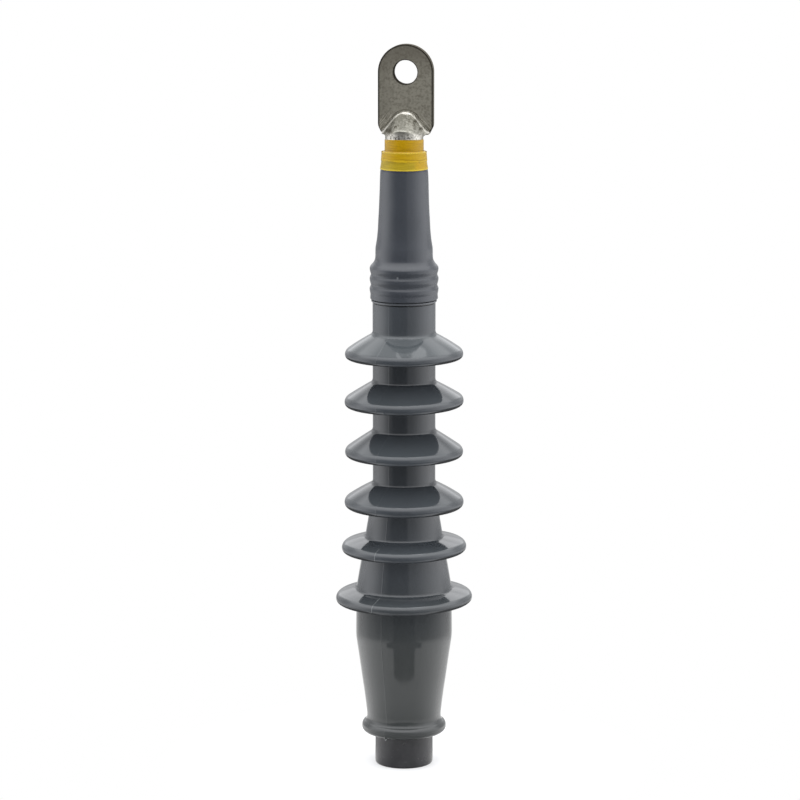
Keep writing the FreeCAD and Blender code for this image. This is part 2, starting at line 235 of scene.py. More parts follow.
class Paint(Graph):
    """A procedural finish, laid out over the piece in millimetres."""

    def __init__(self, name, metallic=0.0, ior=1.5):
        self.material = bpy.data.materials.new(name)
        self.material.use_nodes = True
        super().__init__(self.material.node_tree)
        self.tree.nodes.clear()
        self.shader = self.node("ShaderNodeBsdfPrincipled", {"Metallic": metallic, "IOR": ior})
        self.output = self.node("ShaderNodeOutputMaterial", {"Surface": self.shader})
        place = self.node("ShaderNodeTexCoord").outputs["Object"]
        parts = self.node("ShaderNodeSeparateXYZ", {0: place})
        self.x, self.y, self.z = (Value(self, socket) / MM for socket in parts.outputs)

    def noise(self, size, detail=3.0, stretch=(1, 1, 1), offset=0.0):
        """Noise from 0 to 1 whose lumps are about that many millimetres across."""
        place = self.vector(
            self.x / (size * stretch[0]) + offset, self.y / (size * stretch[1]), self.z / (size * stretch[2])
        )
        sockets = {"Vector": place, "Scale": 1.0, "Detail": detail, "Roughness": 0.55}
        return self.value("ShaderNodeTexNoise", sockets)

    def radius(self):
        """How far a spot lies from the cable's axis."""
        return (self.x * self.x + self.y * self.y).root()

    def distance(self, x, y, z):
        """How far a spot lies from a given one."""
        return ((self.x - x) ** 2.0 + (self.y - y) ** 2.0 + (self.z - z) ** 2.0).root()

    def blot(self, x, z, wide, tall, core=0.1):
        """A soft oval spot on a face that looks along Y: 1 in its middle, 0 outside."""
        return (((self.x - x) / wide) ** 2.0 + ((self.z - z) / tall) ** 2.0).fading(core, 1.0)

    def blend(self, factor, first, second):
        """A colour between two, each an RGB triple or another blend."""
        return self.value("ShaderNodeMix", {0: factor, 6: first, 7: second}, out=2, data_type="RGBA")

    def mix_in(self, factor, shader):
        """Lays a second shader over the first by that factor."""
        mix = self.node("ShaderNodeMixShader", {0: factor, 1: self.shader, 2: shader})
        self.join(self.output.inputs["Surface"], mix)

    def finish(self, colour, roughness, height=None, depth=0.05, **sockets):
        """Joins the colour, the roughness and a relief given as a depth in millimetres."""
        if height is not None:
            sockets["Normal"] = self.node("ShaderNodeBump", {
                "Height": height, "Distance": depth * MM, "Strength": 1.0,
            })
        for key, wanted in {"Base Color": colour, "Roughness": roughness, **sockets}.items():
            self.join(self.shader.inputs[key], wanted)
        return self.material


# Finishes


def rim_undersides(paint, radius, right):
    """Where the rims turn under, which starts higher up at both sides; there the skin gets a painted shade.
    """
    under = 0.0
    start = 0.68 - abs(right).eased(14.0, 42.0) * 0.6
    for shed in SHEDS:
        below = (shed.level - paint.z + right * (shed.tilt / shed.reach)) / shed.rim
        under = (below - start).eased(0.0, 0.2) * below.fading(1.05, 1.3) + under
    return under * (radius - NECK).eased(1.5, 4.5)


def shed_tops(paint, radius):
    """The sheds' upper sides, stronger towards their rims, where a dusty film and painted light lie."""
    tops = 0.0
    for shed in SHEDS:
        core = core_radius(shed.root)
        lower = (paint.z - (shed.level + shed.rim * 0.6)).eased(0.0, 1.5)
        upper = (paint.z - shed.root).fading(3.0, 7.0)
        tops = lower * upper * (0.2 + (radius - core).eased(2.0, shed.reach - core) * 0.8) + tops
    return tops


def moulded_silicone():
    """Even grey moulding skin, clouded a little, with a thin dusty film and painted light on the sheds' upper
    sides.

    Painted shade darkens the neck lengths between the sheds and the lower body, and makes the rims'
    undersides dark and unreflecting; the collar gets a painted highlight over a painted shadow line, and the
    parting line and a hooked nib at the mouth are lighter.
    """
    dust_and_light = (0.08, 0.09, 0.093)
    paint = Paint("moulded silicone")
    radius = paint.radius()
    right, _ = facing(paint.x, paint.y)
    cloud = paint.noise(38.0, 4.0, offset=3.0)
    skin = paint.blend(cloud.eased(0.25, 0.75), (0.032, 0.036, 0.041), (0.037, 0.042, 0.048))
    # Painted shade: the lower body darker and greener, as lit by the floor
    skin = paint.blend(paint.z.fading(100.0, 200.0), skin, (0.0305, 0.033, 0.033))
    # A dusty film with painted light on the sheds' upper sides, stronger towards the rims
    skin = paint.blend(shed_tops(paint, radius) * 0.25, skin, dust_and_light)
    # More dusty film and painted light on the top shed's slope
    top_shed_dust_and_light = (paint.z - SHEDS[0].level).between((4.47, 5.97), (16.97, 22.97))
    skin = paint.blend(top_shed_dust_and_light * 0.4, skin, dust_and_light)
    # Painted shade on the neck lengths between the sheds
    neck_shade = (radius - NECK).fading(1.0, 2.5) * paint.z.fading(376.0, 380.0)
    skin = paint.blend(neck_shade * 0.45, skin, (0.012, 0.014, 0.017))
    seam = abs(paint.x * math.sin(PARTING) - paint.y * math.cos(PARTING))
    seam = seam.fading(0.12, 0.34) * (-paint.y).eased(0.0, 5.0)
    shown = 0.05 + (radius - 46.5).eased(0.0, 1.5) * paint.z.fading(209.0, 214.0) * 0.5
    skin = paint.blend(seam * shown, skin, (0.2, 0.21, 0.21))
    # Painted highlight on the collar's top, and a painted shadow line under it
    skin = paint.blend(paint.z.eased(COLLAR, COLLAR + 0.4) * 0.5, skin, (0.1, 0.105, 0.115))
    collar_shadow = paint.z.between((COLLAR - 1.4, COLLAR - 1.0), (COLLAR - 0.3, COLLAR + 0.1))
    skin = paint.blend(collar_shadow, skin, (0.012, 0.013, 0.014))
    hook = paint.distance(-12.2, -33.4, 29.2).fading(1.0, 2.0)
    skin = paint.blend(hook * 0.85, skin, (0.26, 0.27, 0.27))
    # Painted shade: the rims' undersides turn dark and unreflecting
    underside_shade = paint.node("ShaderNodeBsdfPrincipled", {
        "Base Color": (0.02, 0.021, 0.022), "Specular IOR Level": 0.0,
    })
    paint.mix_in(rim_undersides(paint, radius, right) * 0.9, underside_shade)
    smear = paint.noise(14.0, 3.0, (1, 1, 2.2), offset=9.0)
    return paint.finish(skin, 0.07 + smear.eased(0.35, 0.8) * 0.05, paint.noise(24.0, 3.0), 0.02)


def shrunk_silicone():
    """The upper sleeve: satin, with faint streaks along it and a painted shadow line under the tape's edge.
    """
    paint = Paint("shrunk silicone")
    cloud = paint.noise(26.0, 4.0, offset=3.0)
    pull = paint.noise(3.0, 3.0, (1, 1, 14), offset=8.0)
    skin = paint.blend(cloud.eased(0.25, 0.75), (0.031, 0.035, 0.042), (0.037, 0.041, 0.049))
    # Painted shadow: a dark line just under the tape's lower edge
    tape_edge_shadow = (paint.z - SLEEVE_TAPE_FOOT).between((-2.0, -1.4), (0.9, 1.5))
    skin = paint.blend(tape_edge_shadow * 0.85, skin, (0.012, 0.014, 0.03))
    # A nick: a small pit in the relief, lighter in colour as a painted highlight
    pit = paint.distance(-1.9, -30.3, 455.4).fading(0.5, 1.3)
    skin = paint.blend(pit * 0.55, skin, (0.16, 0.17, 0.18))
    return paint.finish(skin, 0.16 + pull * 0.08, pull * 0.5 + cloud - pit * 6.0, 0.04)


def corner_cut(side, z):
    """How far a spot lies outside the slanted cut at the palm's lower corners."""
    wide, tall = PALM_CORNER
    return ((side - (PALM_HALF - wide)) * tall - (z - PALM_FOOT) * wide) / math.hypot(wide, tall)


def palm_tin(paint, mottle, blotch, flank):
    """Dull tin on the palm: clearer on its right, mottled, and scored along the ramp's flanks."""
    clear = 0.7 + paint.x.eased(-24.0, -8.0) * 0.3
    clear = clear * (1.0 - paint.z.eased(628.0, 655.0) * 0.7) * (0.6 + blotch * 0.8)
    tin = paint.blend(clear, (0.165, 0.152, 0.123), (0.33, 0.315, 0.262))
    tin = paint.blend(mottle.eased(0.4, 0.7) * 0.6, tin, (0.14, 0.125, 0.097))
    brush = paint.noise(0.7, 3.0, (1, 1, 9), offset=2.0)
    tin = paint.blend(brush.eased(0.55, 0.75) * 0.35, tin, (0.34, 0.325, 0.285))
    side = abs(paint.x)
    across = (side * BELL_SLOPE + paint.z) / 1.2
    along = (paint.z * BELL_SLOPE - side) / 22.4
    place = paint.vector(across, along, paint.x.maths("SIGN") * 3.0)
    strokes = paint.value("ShaderNodeTexNoise", {"Vector": place, "Scale": 1.0, "Detail": 2.0})
    scored = strokes.eased(0.5, 0.57) * flank.eased(-12.0, -4.0) * paint.z.fading(592.0, 604.0)
    return paint.blend(scored * 0.8, tin, (0.58, 0.555, 0.475))


def ramp_tin(paint, mottle):
    """Bright tin on the ramp and the barrel, stained in places and speckled in the barrel's middle.

    A painted highlight lies near the ramp's crest.
    """
    tin = paint.blend(mottle.eased(0.35, 0.65), (0.25, 0.245, 0.21), (0.37, 0.36, 0.315))
    stain = paint.noise(4.2, 5.0, offset=11.0).eased(0.5, 0.68)
    tin = paint.blend(stain * 0.65, tin, (0.085, 0.075, 0.057))
    marks = 0.0
    for x, z, wide, tall in RAMP_STAINS:
        marks = paint.blot(x, z, wide, tall) + marks
    marks = marks * paint.noise(1.7, 4.0, offset=3.0).eased(0.36, 0.54)
    tin = paint.blend(marks * 0.8, tin, (0.06, 0.052, 0.038))
    # Painted highlight near the ramp's crest
    tin = paint.blend(paint.blot(1.8, 599.8, 5.5, 2.0, core=0.2) * 0.8, tin, (0.72, 0.7, 0.65))
    low = (paint.z - 581.0 + paint.noise(6.0, 3.0, offset=1.0) * 6.0).fading(-2.0, 6.0)
    tin = paint.blend(low * paint.noise(2.6, 4.0, offset=5.0).eased(0.42, 0.56) * 0.8, tin, (0.5, 0.49, 0.46))
    barrel = paint.z.fading(PALM_FOOT, PALM_FOOT + 4.5) * (-paint.y).eased(0.0, 4.0)
    tin = paint.blend(barrel * mottle.eased(0.3, 0.6) * 0.9, tin, (0.6, 0.58, 0.53))
    specks = paint.noise(1.9, 4.0, (1, 1, 0.7), offset=6.0).eased(0.53, 0.6)
    middle = 1.0 - abs(paint.x).eased(8.0, 15.0) * 0.6
    return paint.blend(barrel * specks * middle * 0.9, tin, (0.05, 0.045, 0.035))


def tinned_copper():
    """Tin-plated copper: dull and mottled on the palm, bright and stained on the ramp.

    A painted highlight lies along the ramp's lip, and painted shade along the palm's edges, round the bolt
    hole and in the groove outside the ramp.
    """
    paint = Paint("tinned copper", metallic=1.0)
    grain = paint.noise(0.7, 4.0)
    mottle = paint.noise(2.2, 5.0, offset=7.0)
    blotch = paint.noise(11.0, 4.0, offset=4.0)
    side = abs(paint.x)
    up = paint.z - BELL_MIDDLE
    on_crest = (up * BELL_SLOPE - side).eased(-0.01, 0.01)
    crest = BELL_ROUND - (side * side + up * up).root()
    flank = BELL_ROUND - (side * BELL_SLOPE + up) / math.hypot(BELL_SLOPE, 1)
    inside = flank + (crest - flank) * on_crest
    palm_back = paint.y.eased(13.0, 14.0) * paint.z.eased(PALM_FOOT - 0.5, PALM_FOOT + 1.5)
    ramp = inside.eased(-0.25, 0.15) * (1.0 - palm_back)
    # Painted shadow in the groove outside the ramp's edge
    groove = inside.eased(-1.5, -0.6) * (1.0 - ramp) * (1.0 - palm_back)
    lip = inside.between((-0.1, 0.3), (1.2, 2.4 + on_crest * 0.8))
    over = (paint.z - PALM_TURN).most(0.0)
    out = (side * side + over * over).root() - PALM_HALF
    hole = (side * side + (paint.z - HOLE_HEIGHT) ** 2.0).root() - HOLE
    # Painted shade along the palm's outline and the bolt hole's edge
    rim = out.eased(-1.9, -0.9).most(corner_cut(side, paint.z).eased(-1.3, -0.3))
    rim = rim.most(hole.fading(0.3, 1.2)) * (1.0 - ramp)
    # Painted highlight along the ramp's lip, stronger on the left and in blotches
    lit = 0.3 + blotch.eased(0.35, 0.6) * 0.3 + (-paint.x).eased(4.0, 9.0) * 0.4
    ramp_and_lit_edge = paint.blend(lip * lit, ramp_tin(paint, mottle), (0.66, 0.64, 0.59))
    metal = paint.blend(ramp, palm_tin(paint, mottle, blotch, flank), ramp_and_lit_edge)
    # The painted shade: near black on the faces' borders, a dull dark tin on the edge faces
    dark = paint.blend(out.eased(-0.15, -0.05), (0.028, 0.025, 0.02), (0.14, 0.13, 0.11))
    metal = paint.blend((rim * 0.92).most(groove * 0.45), metal, dark)
    rough = 0.52 - ramp * 0.14 + grain * 0.1 + rim * 0.15
    relief = grain * 0.5 + mottle * 0.9 + ramp * blotch * 3.0
    return paint.finish(metal, rough, relief, 0.07, **{"Specular Tint": (0.25, 0.24, 0.22)})


def bare_copper(name):
    """Drawn copper, tarnished in patches."""
    paint = Paint(name, metallic=1.0)
    tarnish = paint.noise(7.0, 4.0).eased(0.35, 0.75)
    drawn = paint.noise(0.5, 2.0, (1, 1, 30))
    colour = paint.blend(tarnish, (0.72, 0.34, 0.19), (0.38, 0.17, 0.1))
    return paint.finish(colour, 0.28 + tarnish * 0.25, drawn, 0.02)


def phase_tape():
    """Yellow vinyl tape with fine pull lines, and a greener cast where a single layer lies on the dark.

    A painted shadow runs along the upper band's folded edge, with a painted highlight under it and along the
    tape's edges.
    """
    paint = Paint("yellow phase tape", ior=1.3)
    pull = paint.noise(0.9, 3.0, (16, 16, 0.45))
    broad = paint.noise(5.0, 3.0, (3, 3, 0.35), offset=5.0)
    smudge = paint.noise(2.4, 3.0, (4, 4, 0.5), offset=2.0).eased(0.5, 0.7)
    right, _ = facing(paint.x, paint.y)
    sag = broad * 3.4 + paint.noise(7.0, 2.0, (1.6, 1.6, 1.0), offset=1.0) * 1.6 + right * 0.03
    above = paint.z - TAPE_FOLD + sag
    single = above.fading(-2.9, -1.3) * (1.0 - right.eased(7.0, 13.0) * (-paint.y).eased(0.0, 2.0))
    # Painted shadow along the upper band's folded edge, and a painted highlight just under it
    fold_shadow = abs(above).fading(0.15, 0.55)
    lit_under_fold = abs(above + 1.3).fading(0.3, 0.9)
    # Painted highlights along the tape's lower edge and where it turns over the sleeve's end
    edge = (paint.z - SLEEVE_TAPE_FOOT).fading(0.6, 1.7).most((paint.z - SLEEVE_TOP).eased(-0.1, 0.2) * 0.7)
    warm = paint.blend(pull.eased(0.3, 0.7), (0.31, 0.185, 0.001), (0.41, 0.26, 0.003))
    thin = paint.blend(broad.eased(0.3, 0.7), (0.25, 0.18, 0.005), (0.34, 0.245, 0.01))
    on_sleeve = paint.blend(single, warm, thin)
    on_sleeve = paint.blend(lit_under_fold * 0.5, on_sleeve, (0.48, 0.33, 0.012))
    on_sleeve = paint.blend(fold_shadow * 0.45, on_sleeve, (0.19, 0.12, 0.001))
    on_sleeve = paint.blend(edge * 0.7, on_sleeve, (0.5, 0.38, 0.03))
    on_lug = paint.blend(pull.eased(0.3, 0.7), (0.29, 0.165, 0.0), (0.4, 0.232, 0.0))
    on_lug = paint.blend(smudge * 0.5, on_lug, (0.22, 0.14, 0.0))
    colour = paint.blend((paint.z - LUG_TAPE_FOOT).eased(0.3, 1.0), on_sleeve, on_lug)
    return paint.finish(colour, 0.27 + pull * 0.1, pull + broad * 2.0, 0.09)


def shrunk_tube():
    """The core sleeve: satin, with fine pull marks along the cable and a few scuffs.

    Its cut lower edge is darkened by painted shade.
    """
    paint = Paint("core sleeve")
    cloud = paint.noise(16.0, 4.0)
    pull = paint.noise(1.4, 2.0, (1, 1, 5))
    scuff = paint.noise(4.0, 4.0, (2, 2, 0.4), offset=6.0).eased(0.62, 0.75)
    skin = paint.blend(cloud.eased(0.3, 0.7), (0.022, 0.022, 0.024), (0.031, 0.031, 0.033))
    # Painted shade along the cut lower edge
    skin = paint.blend(paint.z.fading(0.3, 1.6), skin, (0.006, 0.006, 0.006))
    skin = paint.blend(scuff * 0.25, skin, (0.09, 0.09, 0.095))
    return paint.finish(skin, 0.22 + cloud * 0.08, pull + cloud, 0.05)


def polyethylene():
    """Milky insulation with fine marks of the saw."""
    paint = Paint("natural polyethylene", ior=1.51)
    haze = paint.noise(9.0, 3.0)
    saw = paint.noise(0.7, 2.0, (9, 0.6, 1))
    colour = paint.blend(haze, (0.72, 0.71, 0.64), (0.82, 0.81, 0.76))
    return paint.finish(colour, 0.38, saw + haze, 0.04, **{"Subsurface Weight": 0.15})


def black_layer(name, roughness):
    """Black plastic, rubber or mastic of the inner layers, clouded a little."""
    paint = Paint(name, ior=1.48)
    cloud = paint.noise(8.0, 3.0)
    colour = paint.blend(cloud, (0.013, 0.013, 0.014), (0.024, 0.024, 0.026))
    return paint.finish(colour, roughness + cloud * 0.1, cloud, 0.04)


# Mesh helpers

# Edges that bend by more than this angle stay crisp
CRISP = math.radians(32)


def placed(name, data):
    """An object made from its data, in the scene."""
    made = bpy.data.objects.new(name, data)
    bpy.context.scene.collection.objects.link(made)
    return made


def piece(name, mesh, finish, slot, *nodes):
    """Puts a finished mesh on the cable's axis in place of its CAD nodes."""
    mesh.materials.clear()
    mesh.materials.append(finish)
    for face in mesh.polygons:
        face.use_smooth = True
    mesh.set_sharp_from_angle(angle=CRISP)
    made = placed(name.replace(" ", "_"), mesh)
    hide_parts(*nodes)
    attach(made, "root")
    return made


def arc(centre, radius, start, end, steps):
    """Points round a centre from one angle to another, in degrees from the horizontal."""
    turns = np.radians(np.linspace(start, end, steps))
    return [(centre[0] + radius * math.cos(a), centre[1] + radius * math.sin(a)) for a in turns]


def bent(start, through, end, steps):
    """A smooth bend between two points that leaves and arrives along lines through a third."""
    return [
        tuple((1 - t) ** 2 * a + 2 * t * (1 - t) * b + t * t * c for a, b, c in zip(start, through, end))
        for t in np.linspace(0, 1, steps)
    ]


def eased_line(stops, step):
    """A smooth line through (radius, height) stops, with a point about every step of its length."""
    line = []
    stops = [np.array(stop, float) for stop in stops]
    padded = [2 * stops[0] - stops[1], *stops, 2 * stops[-1] - stops[-2]]
    for a, b, c, d in zip(padded, padded[1:], padded[2:], padded[3:]):
        bend = 2 * a - 5 * b + 4 * c - d
        twist = 3 * b - a - 3 * c + d
        count = max(2, round(float(np.linalg.norm(c - b)) / step))
        for t in np.arange(count) / count:
            line.append(tuple(b + 0.5 * ((c - a) * t + bend * t**2 + twist * t**3)))
    line.append(tuple(stops[-1]))
    return line


def turned(name, outline, around=256, lumps=None, lift=None, extra=()):
    """A solid turned from a closed outline of (radius, height) points.

    lumps moves its skin in or out, lift moves it up or down, and extra angles are added to the even ones.
    """
    before = outline[-1:] + outline[:-1]
    outline = [spot for spot, last in zip(outline, before) if math.dist(spot, last) > 1e-4]
    radius, height = (np.array(side)[None, :] for side in zip(*outline))
    even = np.linspace(0, 2 * math.pi, around, endpoint=False)
    angle = np.unique(np.concatenate([even, np.array(extra) % (2 * math.pi)]))[:, None]
    full = radius + (lumps(angle, height, radius) if lumps else 0.0)
    level = height + (lift(angle, height, radius) if lift else 0.0 * angle)
    spots = np.stack([full * np.cos(angle), full * np.sin(angle), level], axis=-1) * MM
    rows, columns = spots.shape[:2]
    here = np.arange(rows * columns).reshape(rows, columns)
    ahead = np.roll(here, -1, axis=0)
    faces = np.stack([here, ahead, np.roll(ahead, -1, axis=1), np.roll(here, -1, axis=1)], axis=-1)
    return solid(name, spots.reshape(-1, 3), faces.reshape(-1, 4))


def solid(name, spots, faces):
    """A closed mesh with its faces turned outwards."""
    mesh = bpy.data.meshes.new(name)
    mesh.from_pydata([tuple(spot) for spot in spots], [], [tuple(face) for face in faces])
    work = bmesh.new()
    work.from_mesh(mesh)
    bmesh.ops.remove_doubles(work, verts=work.verts, dist=1e-7)
    bmesh.ops.recalc_face_normals(work, faces=work.faces)
    work.to_mesh(mesh)
    work.free()
    return mesh


def bump(distance, width):
    """A smooth bump: 1 at no distance, and about 0 past twice that width."""
    return np.exp(-((distance / width) ** 2))


def wrapped(angle):
    """An angle brought to within half a turn of zero."""
    return (angle + math.pi) % (2 * math.pi) - math.pi


def ripple(seed, *waves):
    """A smooth wavering round the axis and along it, as a sum of waves of (amount, turns, length)."""
    shifts = np.random.default_rng(seed).uniform(0, 2 * math.pi, (len(waves), 2))

    def wavering(angle, height):
        total = 0.0 * angle * height
        for (amount, turns, length), (start, along) in zip(waves, shifts):
            total = total + amount * np.cos(turns * angle + start) * np.sin(height / length + along)
        return total

    return wavering


# The moulded body


def core_radius(height):
    """The body's radius between its sheds: the bulge's below, the neck's above and a taper between them."""
    share = (height - TAPER[0]) / (TAPER[1] - TAPER[0])
    return BULGE + (NECK - BULGE) * min(1.0, max(0.0, share))


def shed_outline(shed, fillet=5.0):
    """A shed from its upper root down to its lower one: fillet, crowned slope, round rim, flat underside."""
    swell = math.radians(shed.swell)
    start = (core_radius(shed.root), shed.root)
    slope = math.radians(34)
    for _ in range(6):
        land = (
            shed.reach - shed.shoulder + shed.shoulder * math.sin(slope),
            shed.level + shed.shoulder * math.cos(slope),
        )
        fall = math.atan2(start[1] - land[1], land[0] - start[0])
        slope = fall + swell
    lean = fall - swell
    span = fillet * 0.62
    leave = (start[0] + span * math.cos(lean), start[1] - span * math.sin(lean))
    wall = (core_radius(shed.root + span), shed.root + span)
    rise = math.dist(leave, land) / 2 * math.tan(swell)
    crown = (
        (leave[0] + land[0]) / 2 + rise * math.sin(fall),
        (leave[1] + land[1]) / 2 + rise * math.cos(fall),
    )
    under = shed.level - shed.rim
    foot = core_radius(under - 2.0)
    return (
        bent(wall, start, leave, 8)
        + bent(leave, crown, land, 14)[1:]
        + arc((shed.reach - shed.shoulder, shed.level), shed.shoulder, 90 - math.degrees(slope), 0, 14)[1:]
        + arc((shed.reach - shed.rim, shed.level), shed.rim, 0, -90, 12)[1:]
        + bent((foot + 2.5, under + 0.8), (foot, under + 0.9), (foot, under - 2.0), 6)
    )


def body_bore():
    """The body's inside from its mouth up: steps over sleeve and tapes, the cone's pocket, the bore."""
    return [
        (26.63, MOUTH), (26.63, 32.4), (28.28, 32.4), (28.28, 45.5), (26.63, 45.5), (26.63, 51.45),
        (25.13, 51.45), (25.13, 67.45), (24.18, 67.45), (24.18, 69.95), (25.78, 69.95), (36.05, 141.05),
        (30.95, 141.05), (24.18, 104.05), (23.33, 104.05), (23.33, NECK_END),
    ]


def body_skin():
    """The body's outside from its upper end down: grip rings, collar, sheds, bulge, skirt and mouth bead."""
    skin = [(24.33, NECK_END), *bent((27.2, 464.4), (NECK, 462.9), (NECK, 461.6), 5)]
    for ring in GRIP_RINGS:
        skin += [(NECK, ring + 1.7), (NECK + 0.4, ring), (NECK, ring - 1.7)]
    skin += bent((NECK - 0.25, COLLAR + 2.7), (NECK - 0.2, COLLAR + 1.8), (NECK + 0.5, COLLAR + 1.7), 4)
    skin += bent((NECK + 1.15, COLLAR + 1.5), (NECK + 1.25, COLLAR + 0.2), (NECK + 0.8, COLLAR), 5)
    skin += [(NECK - 0.35, COLLAR - 0.1), (NECK - 0.35, COLLAR - 0.8), (NECK, COLLAR - 1.2)]
    for shed in SHEDS:
        skin += shed_outline(shed)
    skin += [(BULGE, 148.0), (BULGE + 0.1, 138.0), (BULGE + 0.2, 130.0)]
    skin += bent((BULGE + 0.25, 125.4), (BULGE + 0.25, 120.4), (BULGE - 0.6, 115.2), 14)
    skirt = [(42.9, 112.8), (41.6, 104.0), (40.0, 92.4), (38.4, 81.0), (36.7, 69.6), (35.2, 58.2)]
    skin += eased_line(skirt, 3.0)
    skin += bent((34.2, 49.2), (33.5, 43.4), (34.9, 41.5), 7)
    bead_middle, bead = 33.1, 5.6
    skin += arc((bead_middle, 35.6), bead, 66, 8, 9)
    skin += [(38.55, 35.9), (38.5, 35.4)]
    skin += arc((bead_middle, 35.3), bead, -4, -62, 10)
    return skin + bent((35.2, 30.3), (34.2, MOUTH), (32.4, MOUTH), 5)


def parting_angles():
    """Extra angles across the parting lines, and across the nib that lies off them."""
    half = np.radians([0.12, 0.24, 0.38, 0.55, 0.8, 1.2])
    fine = np.concatenate([-half[::-1], [0.0], half])
    angles = [middle + turn for middle in (PARTING, PARTING + math.pi) for turn in fine]
    return angles + [CAMERA_SIDE + math.radians(NIBS[0][0]) + turn for turn in fine[1:-1:2]]


def termination_body():
    """The moulded body, with parting lines, nibs of flash and sheds that hang a little askew."""
    waver = ripple(3, (0.05, 2, 90.0), (0.04, 3, 60.0), (0.03, 5, 33.0))

    def lumps(angle, height, radius):
        outside = (radius > NECK - 0.5) & (height > MOUTH + 0.05) & (height < GRIP_RINGS[0] - 0.2)
        seam = np.minimum(abs(wrapped(angle - PARTING)), abs(wrapped(angle - PARTING - math.pi))) * radius
        raised = 0.16 * bump(seam, 0.28) * (height < COLLAR - 2.2)
        for side, level, proud in NIBS:
            far = wrapped(angle - CAMERA_SIDE - math.radians(side)) * radius
            raised = raised + proud * bump(far, 0.6) * bump(height - level, 0.9)
        return np.where(outside, waver(angle, height) + raised, 0.0)

    def lift(angle, height, radius):
        rise = 0.0 * angle * height
        for shed in SHEDS:
            core = core_radius(shed.root)
            near = (height > shed.level - shed.rim - 0.1) & (height < shed.root + 4.0)
            share = np.clip((radius - core - 1.0) / (shed.reach - core), 0.0, 1.0)
            rise = rise + near * shed.tilt * share * np.cos(angle - CAMERA_SIDE - math.pi / 2)
        hook = bump(wrapped(angle - PARTING) * radius, 0.8) * bump(radius - 35.6, 1.1)
        return rise - 2.2 * hook * (height > MOUTH + 0.1) * (height < MOUTH + 3.1)

    return turned("termination body", body_bore() + body_skin(), 204, lumps, lift, parting_angles())


# The upper sealing sleeve


def sealing_sleeve():
    """The sleeve from the body's neck to the lug, with the folds that the neck's grip rings press into it."""
    inside = [
        (29.02, SLEEVE_FOOT), (29.02, 462.05), (24.33, 469.25), (23.33, 470.4), (23.33, 481.0),
        (20.93, 486.0), (20.93, 518.1), (18.95, 518.1), (18.95, 558.1), (17.1, 558.1), (17.1, SLEEVE_TOP),
    ]
    outside = [(18.6, SLEEVE_TOP), *bent((18.8, SLEEVE_TOP), (19.0, 565.2), (19.05, 564.6), 4)]
    outside += eased_line([
        (19.1, 563.0), (19.9, 556.5), (20.5, 551.5), (21.2, 549.6), (21.5, 547.0), (21.8, 540.0),
        (22.0, 533.0), (22.25, 526.0), (22.55, 518.0), (22.9, 511.0), (23.3, 504.0), (23.65, 497.0),
        (24.0, 492.5), (24.5, 487.5), (25.25, 482.6), (25.8, 479.2), (25.95, 475.5), (25.98, 471.5),
        (26.4, 468.4), (28.0, 465.3), (29.9, 463.2), (30.8, 461.7), (31.05, 460.2), (30.8, 458.2),
        (30.2, 456.2), (30.0, 455.0), (30.3, 453.8), (30.9, 452.4), (31.05, 451.0), (30.8, 448.9),
        (30.2, 446.7), (30.0, 445.5), (30.3, 444.3), (30.9, 442.9), (31.05, 441.5), (30.8, 439.4),
        (30.35, 437.4), (30.4, 435.4),
    ], 0.9)
    outside += bent((30.55, 433.7), (30.55, SLEEVE_FOOT), (29.9, SLEEVE_FOOT), 5)
    waver = ripple(8, (0.10, 2, 24.0), (0.07, 3, 17.0), (0.05, 5, 11.0), (0.03, 9, 7.0))

    def lumps(angle, height, radius):
        top = np.clip((564.0 - height) / 30.0, 0.0, 1.0)
        return np.where(radius > 20.2, waver(angle, height) * top, 0.0) * (height > SLEEVE_FOOT + 0.1)

    return turned("sealing sleeve", inside + outside, 224, lumps)


# The lug, shaped as one field of distances


def joined(a, b, ease):
    """The smaller of two distances, with a fillet."""
    share = np.clip(0.5 + 0.5 * (b - a) / ease, 0, 1)
    return b * (1 - share) + a * share - ease * share * (1 - share)


def shared(a, b, ease):
    """The larger of two distances, with a rounded edge."""
    return -joined(-a, -b, ease)


def bell_depth(x, z):
    """How far a spot of the palm's face lies inside the ramp's edge: straight flanks under a round crest."""
    up = z - BELL_MIDDLE
    crest = BELL_ROUND - np.hypot(x, up)
    flank = BELL_ROUND - (BELL_SLOPE * np.abs(x) + up) / math.hypot(BELL_SLOPE, 1)
    return np.where(up * BELL_SLOPE > np.abs(x), crest, flank)


def palm_rim(side, z):
    """How far a spot lies outside the palm's outline."""
    tip = np.where(z > PALM_TURN, np.hypot(side, z - PALM_TURN), side) - PALM_HALF
    return shared(tip, corner_cut(side, z), 1.2)


def lug_barrel(x, y, z):
    """How far a spot lies outside the barrel, which each crimp presses to a hexagon."""
    barrel = np.hypot(x, y) - BARREL
    slanted = np.maximum(np.abs(0.5 * x + 0.866 * y), np.abs(0.5 * x - 0.866 * y))
    flats = np.maximum(np.abs(x), slanted) - CRIMP_FLAT
    for middle in CRIMPS:
        barrel = np.where(np.abs(z - middle) < CRIMP_HALF, np.maximum(barrel, flats), barrel)
    return barrel


def lug_wings(side, y, z):
    """How far a spot lies outside the wings that flare from the barrel to the palm's cut corners."""
    spread = side - BARREL
    wing = np.maximum(spread - 3.95 * np.clip(y / PALM_FRONT, 0, 1), np.abs(y - 8.5) - 8.5)
    flare = (spread - (z - PALM_FOOT + 0.6) * 2.1) / 2.33
    return shared(shared(wing, palm_rim(side, z), 0.8), flare, 0.8)


